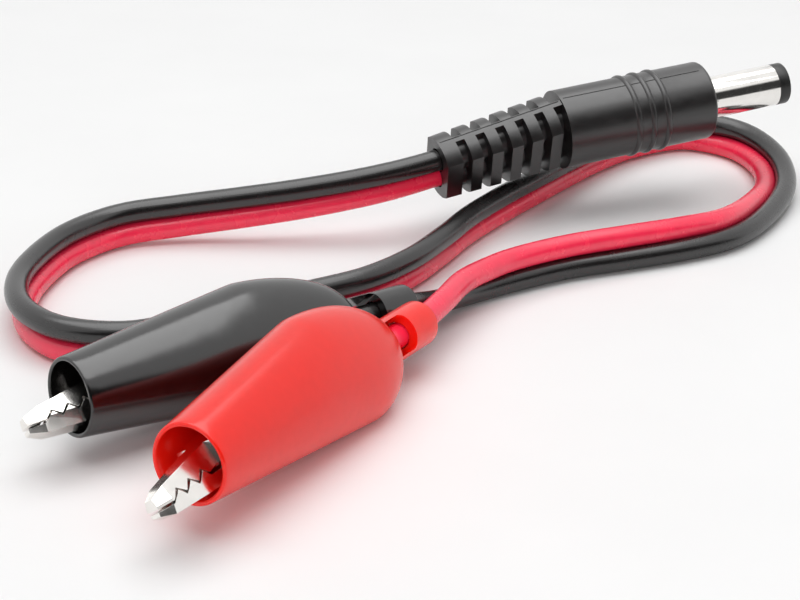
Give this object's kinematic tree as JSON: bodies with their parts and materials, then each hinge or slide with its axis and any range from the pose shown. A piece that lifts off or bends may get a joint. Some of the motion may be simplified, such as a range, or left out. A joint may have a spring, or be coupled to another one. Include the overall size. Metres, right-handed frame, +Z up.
{
  "type": "dc power cable",
  "caption": "Low-voltage power lead with a barrel plug, slotted strain relief, red and black twin cable, and toothed spring clips in soft boots.",
  "frame": {"origin": "on the surface that the lead lies on, under the middle of the box around the plug and the clips", "axes": "+Z up; +Y from the clips to the plug, the long way of the lead as it lies; +X to the side that the plug points to"},
  "size_m": [0.0997, 0.1209, 0.0186],
  "materials": {
    "plug_pvc": "satin moulded PVC",
    "insulator": "smooth",
    "nickel": "bright nickel plate",
    "contact": "plated",
    "copper": "bare stranded copper",
    "spring": "drawn wire",
    "black_wire": "satin PVC insulation",
    "red_wire": "satin PVC insulation",
    "black_boot": "glossy soft PVC",
    "red_boot": "glossy soft PVC"
  },
  "bodies": {
    "lead": {"plug_overmould": "plug_pvc", "barrel_sleeve": "nickel", "barrel_insulator": "insulator", "centre_contact": "contact", "sleeve_lug": "contact", "black_wire": "black_wire", "red_wire": "red_wire", "black_plug_strands": "copper", "red_plug_strands": "copper", "black_clip_strands": "copper", "red_clip_strands": "copper", "black_boot": "black_boot", "black_lower_jaw": "nickel", "black_rivet": "nickel", "black_spring": "spring", "red_boot": "red_boot", "red_lower_jaw": "nickel", "red_rivet": "nickel", "red_spring": "spring"},
    "black_jaw": {"black_upper_jaw": "nickel"},
    "red_jaw": {"red_upper_jaw": "nickel"}
  },
  "joints": [
    {"name": "black_clip_jaw", "type": "hinge", "parent": "lead", "child": "black_jaw", "pos_m": [-0.0342, -0.02599, 0.00622], "axis": [-0.4883, 0.5129, -0.7061], "range_deg": [0, 18], "stiffness_Nm_per_rad": 0.03, "springref_deg": -51.57, "deforming": ["black_spring"]},
    {"name": "red_clip_jaw", "type": "hinge", "parent": "lead", "child": "red_jaw", "pos_m": [-0.02357, -0.04055, 0.00669], "axis": [-0.7463, 0.3839, -0.5438], "range_deg": [0, 18], "stiffness_Nm_per_rad": 0.03, "springref_deg": -51.57, "deforming": ["red_spring"]}
  ]
}
